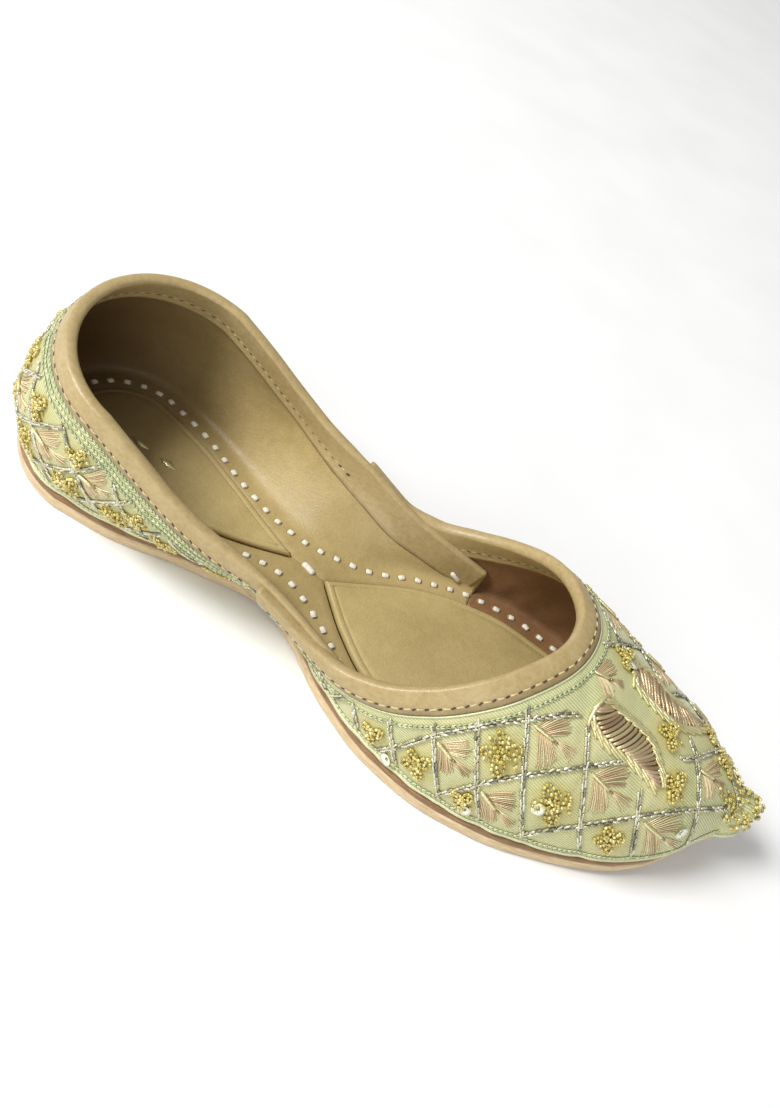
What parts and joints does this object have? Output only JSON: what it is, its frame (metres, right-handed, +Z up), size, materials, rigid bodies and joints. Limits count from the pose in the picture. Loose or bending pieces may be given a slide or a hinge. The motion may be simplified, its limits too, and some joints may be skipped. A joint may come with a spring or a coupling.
{
  "type": "mojari shoe",
  "caption": "Flat slip-on shoe with a pointed upturned toe, a short embroidered vamp lapped over an open quarter, and a thin leather sole with a narrow waist.",
  "frame": {"origin": "on the ground below the middle of the shoe's bounding box", "axes": "+X towards the toe, +Y towards the shoe's left, which is its inner side, +Z up"},
  "size_m": [0.2542, 0.0846, 0.052],
  "materials": {
    "sole_leather": "raw vegetable-tanned edge",
    "midsole_leather": "dark stained edge",
    "embroidered_silk": "fine woven, slightly lustrous",
    "lining_leather": "smooth, half matt",
    "insole_leather": "smooth, half matt",
    "binding_leather": "folded edge, soft sheen",
    "stitch_thread": "waxed cotton",
    "metal_thread": "twisted bright wire",
    "glass_beads": "small, clear-coated"
  },
  "bodies": {
    "root": {"outsole": "sole_leather", "midsole": "midsole_leather", "upper_quarter": "embroidered_silk", "upper_vamp": "embroidered_silk", "insole_heel_pad": "insole_leather", "insole_front_pad": "insole_leather"}
  },
  "joints": []
}
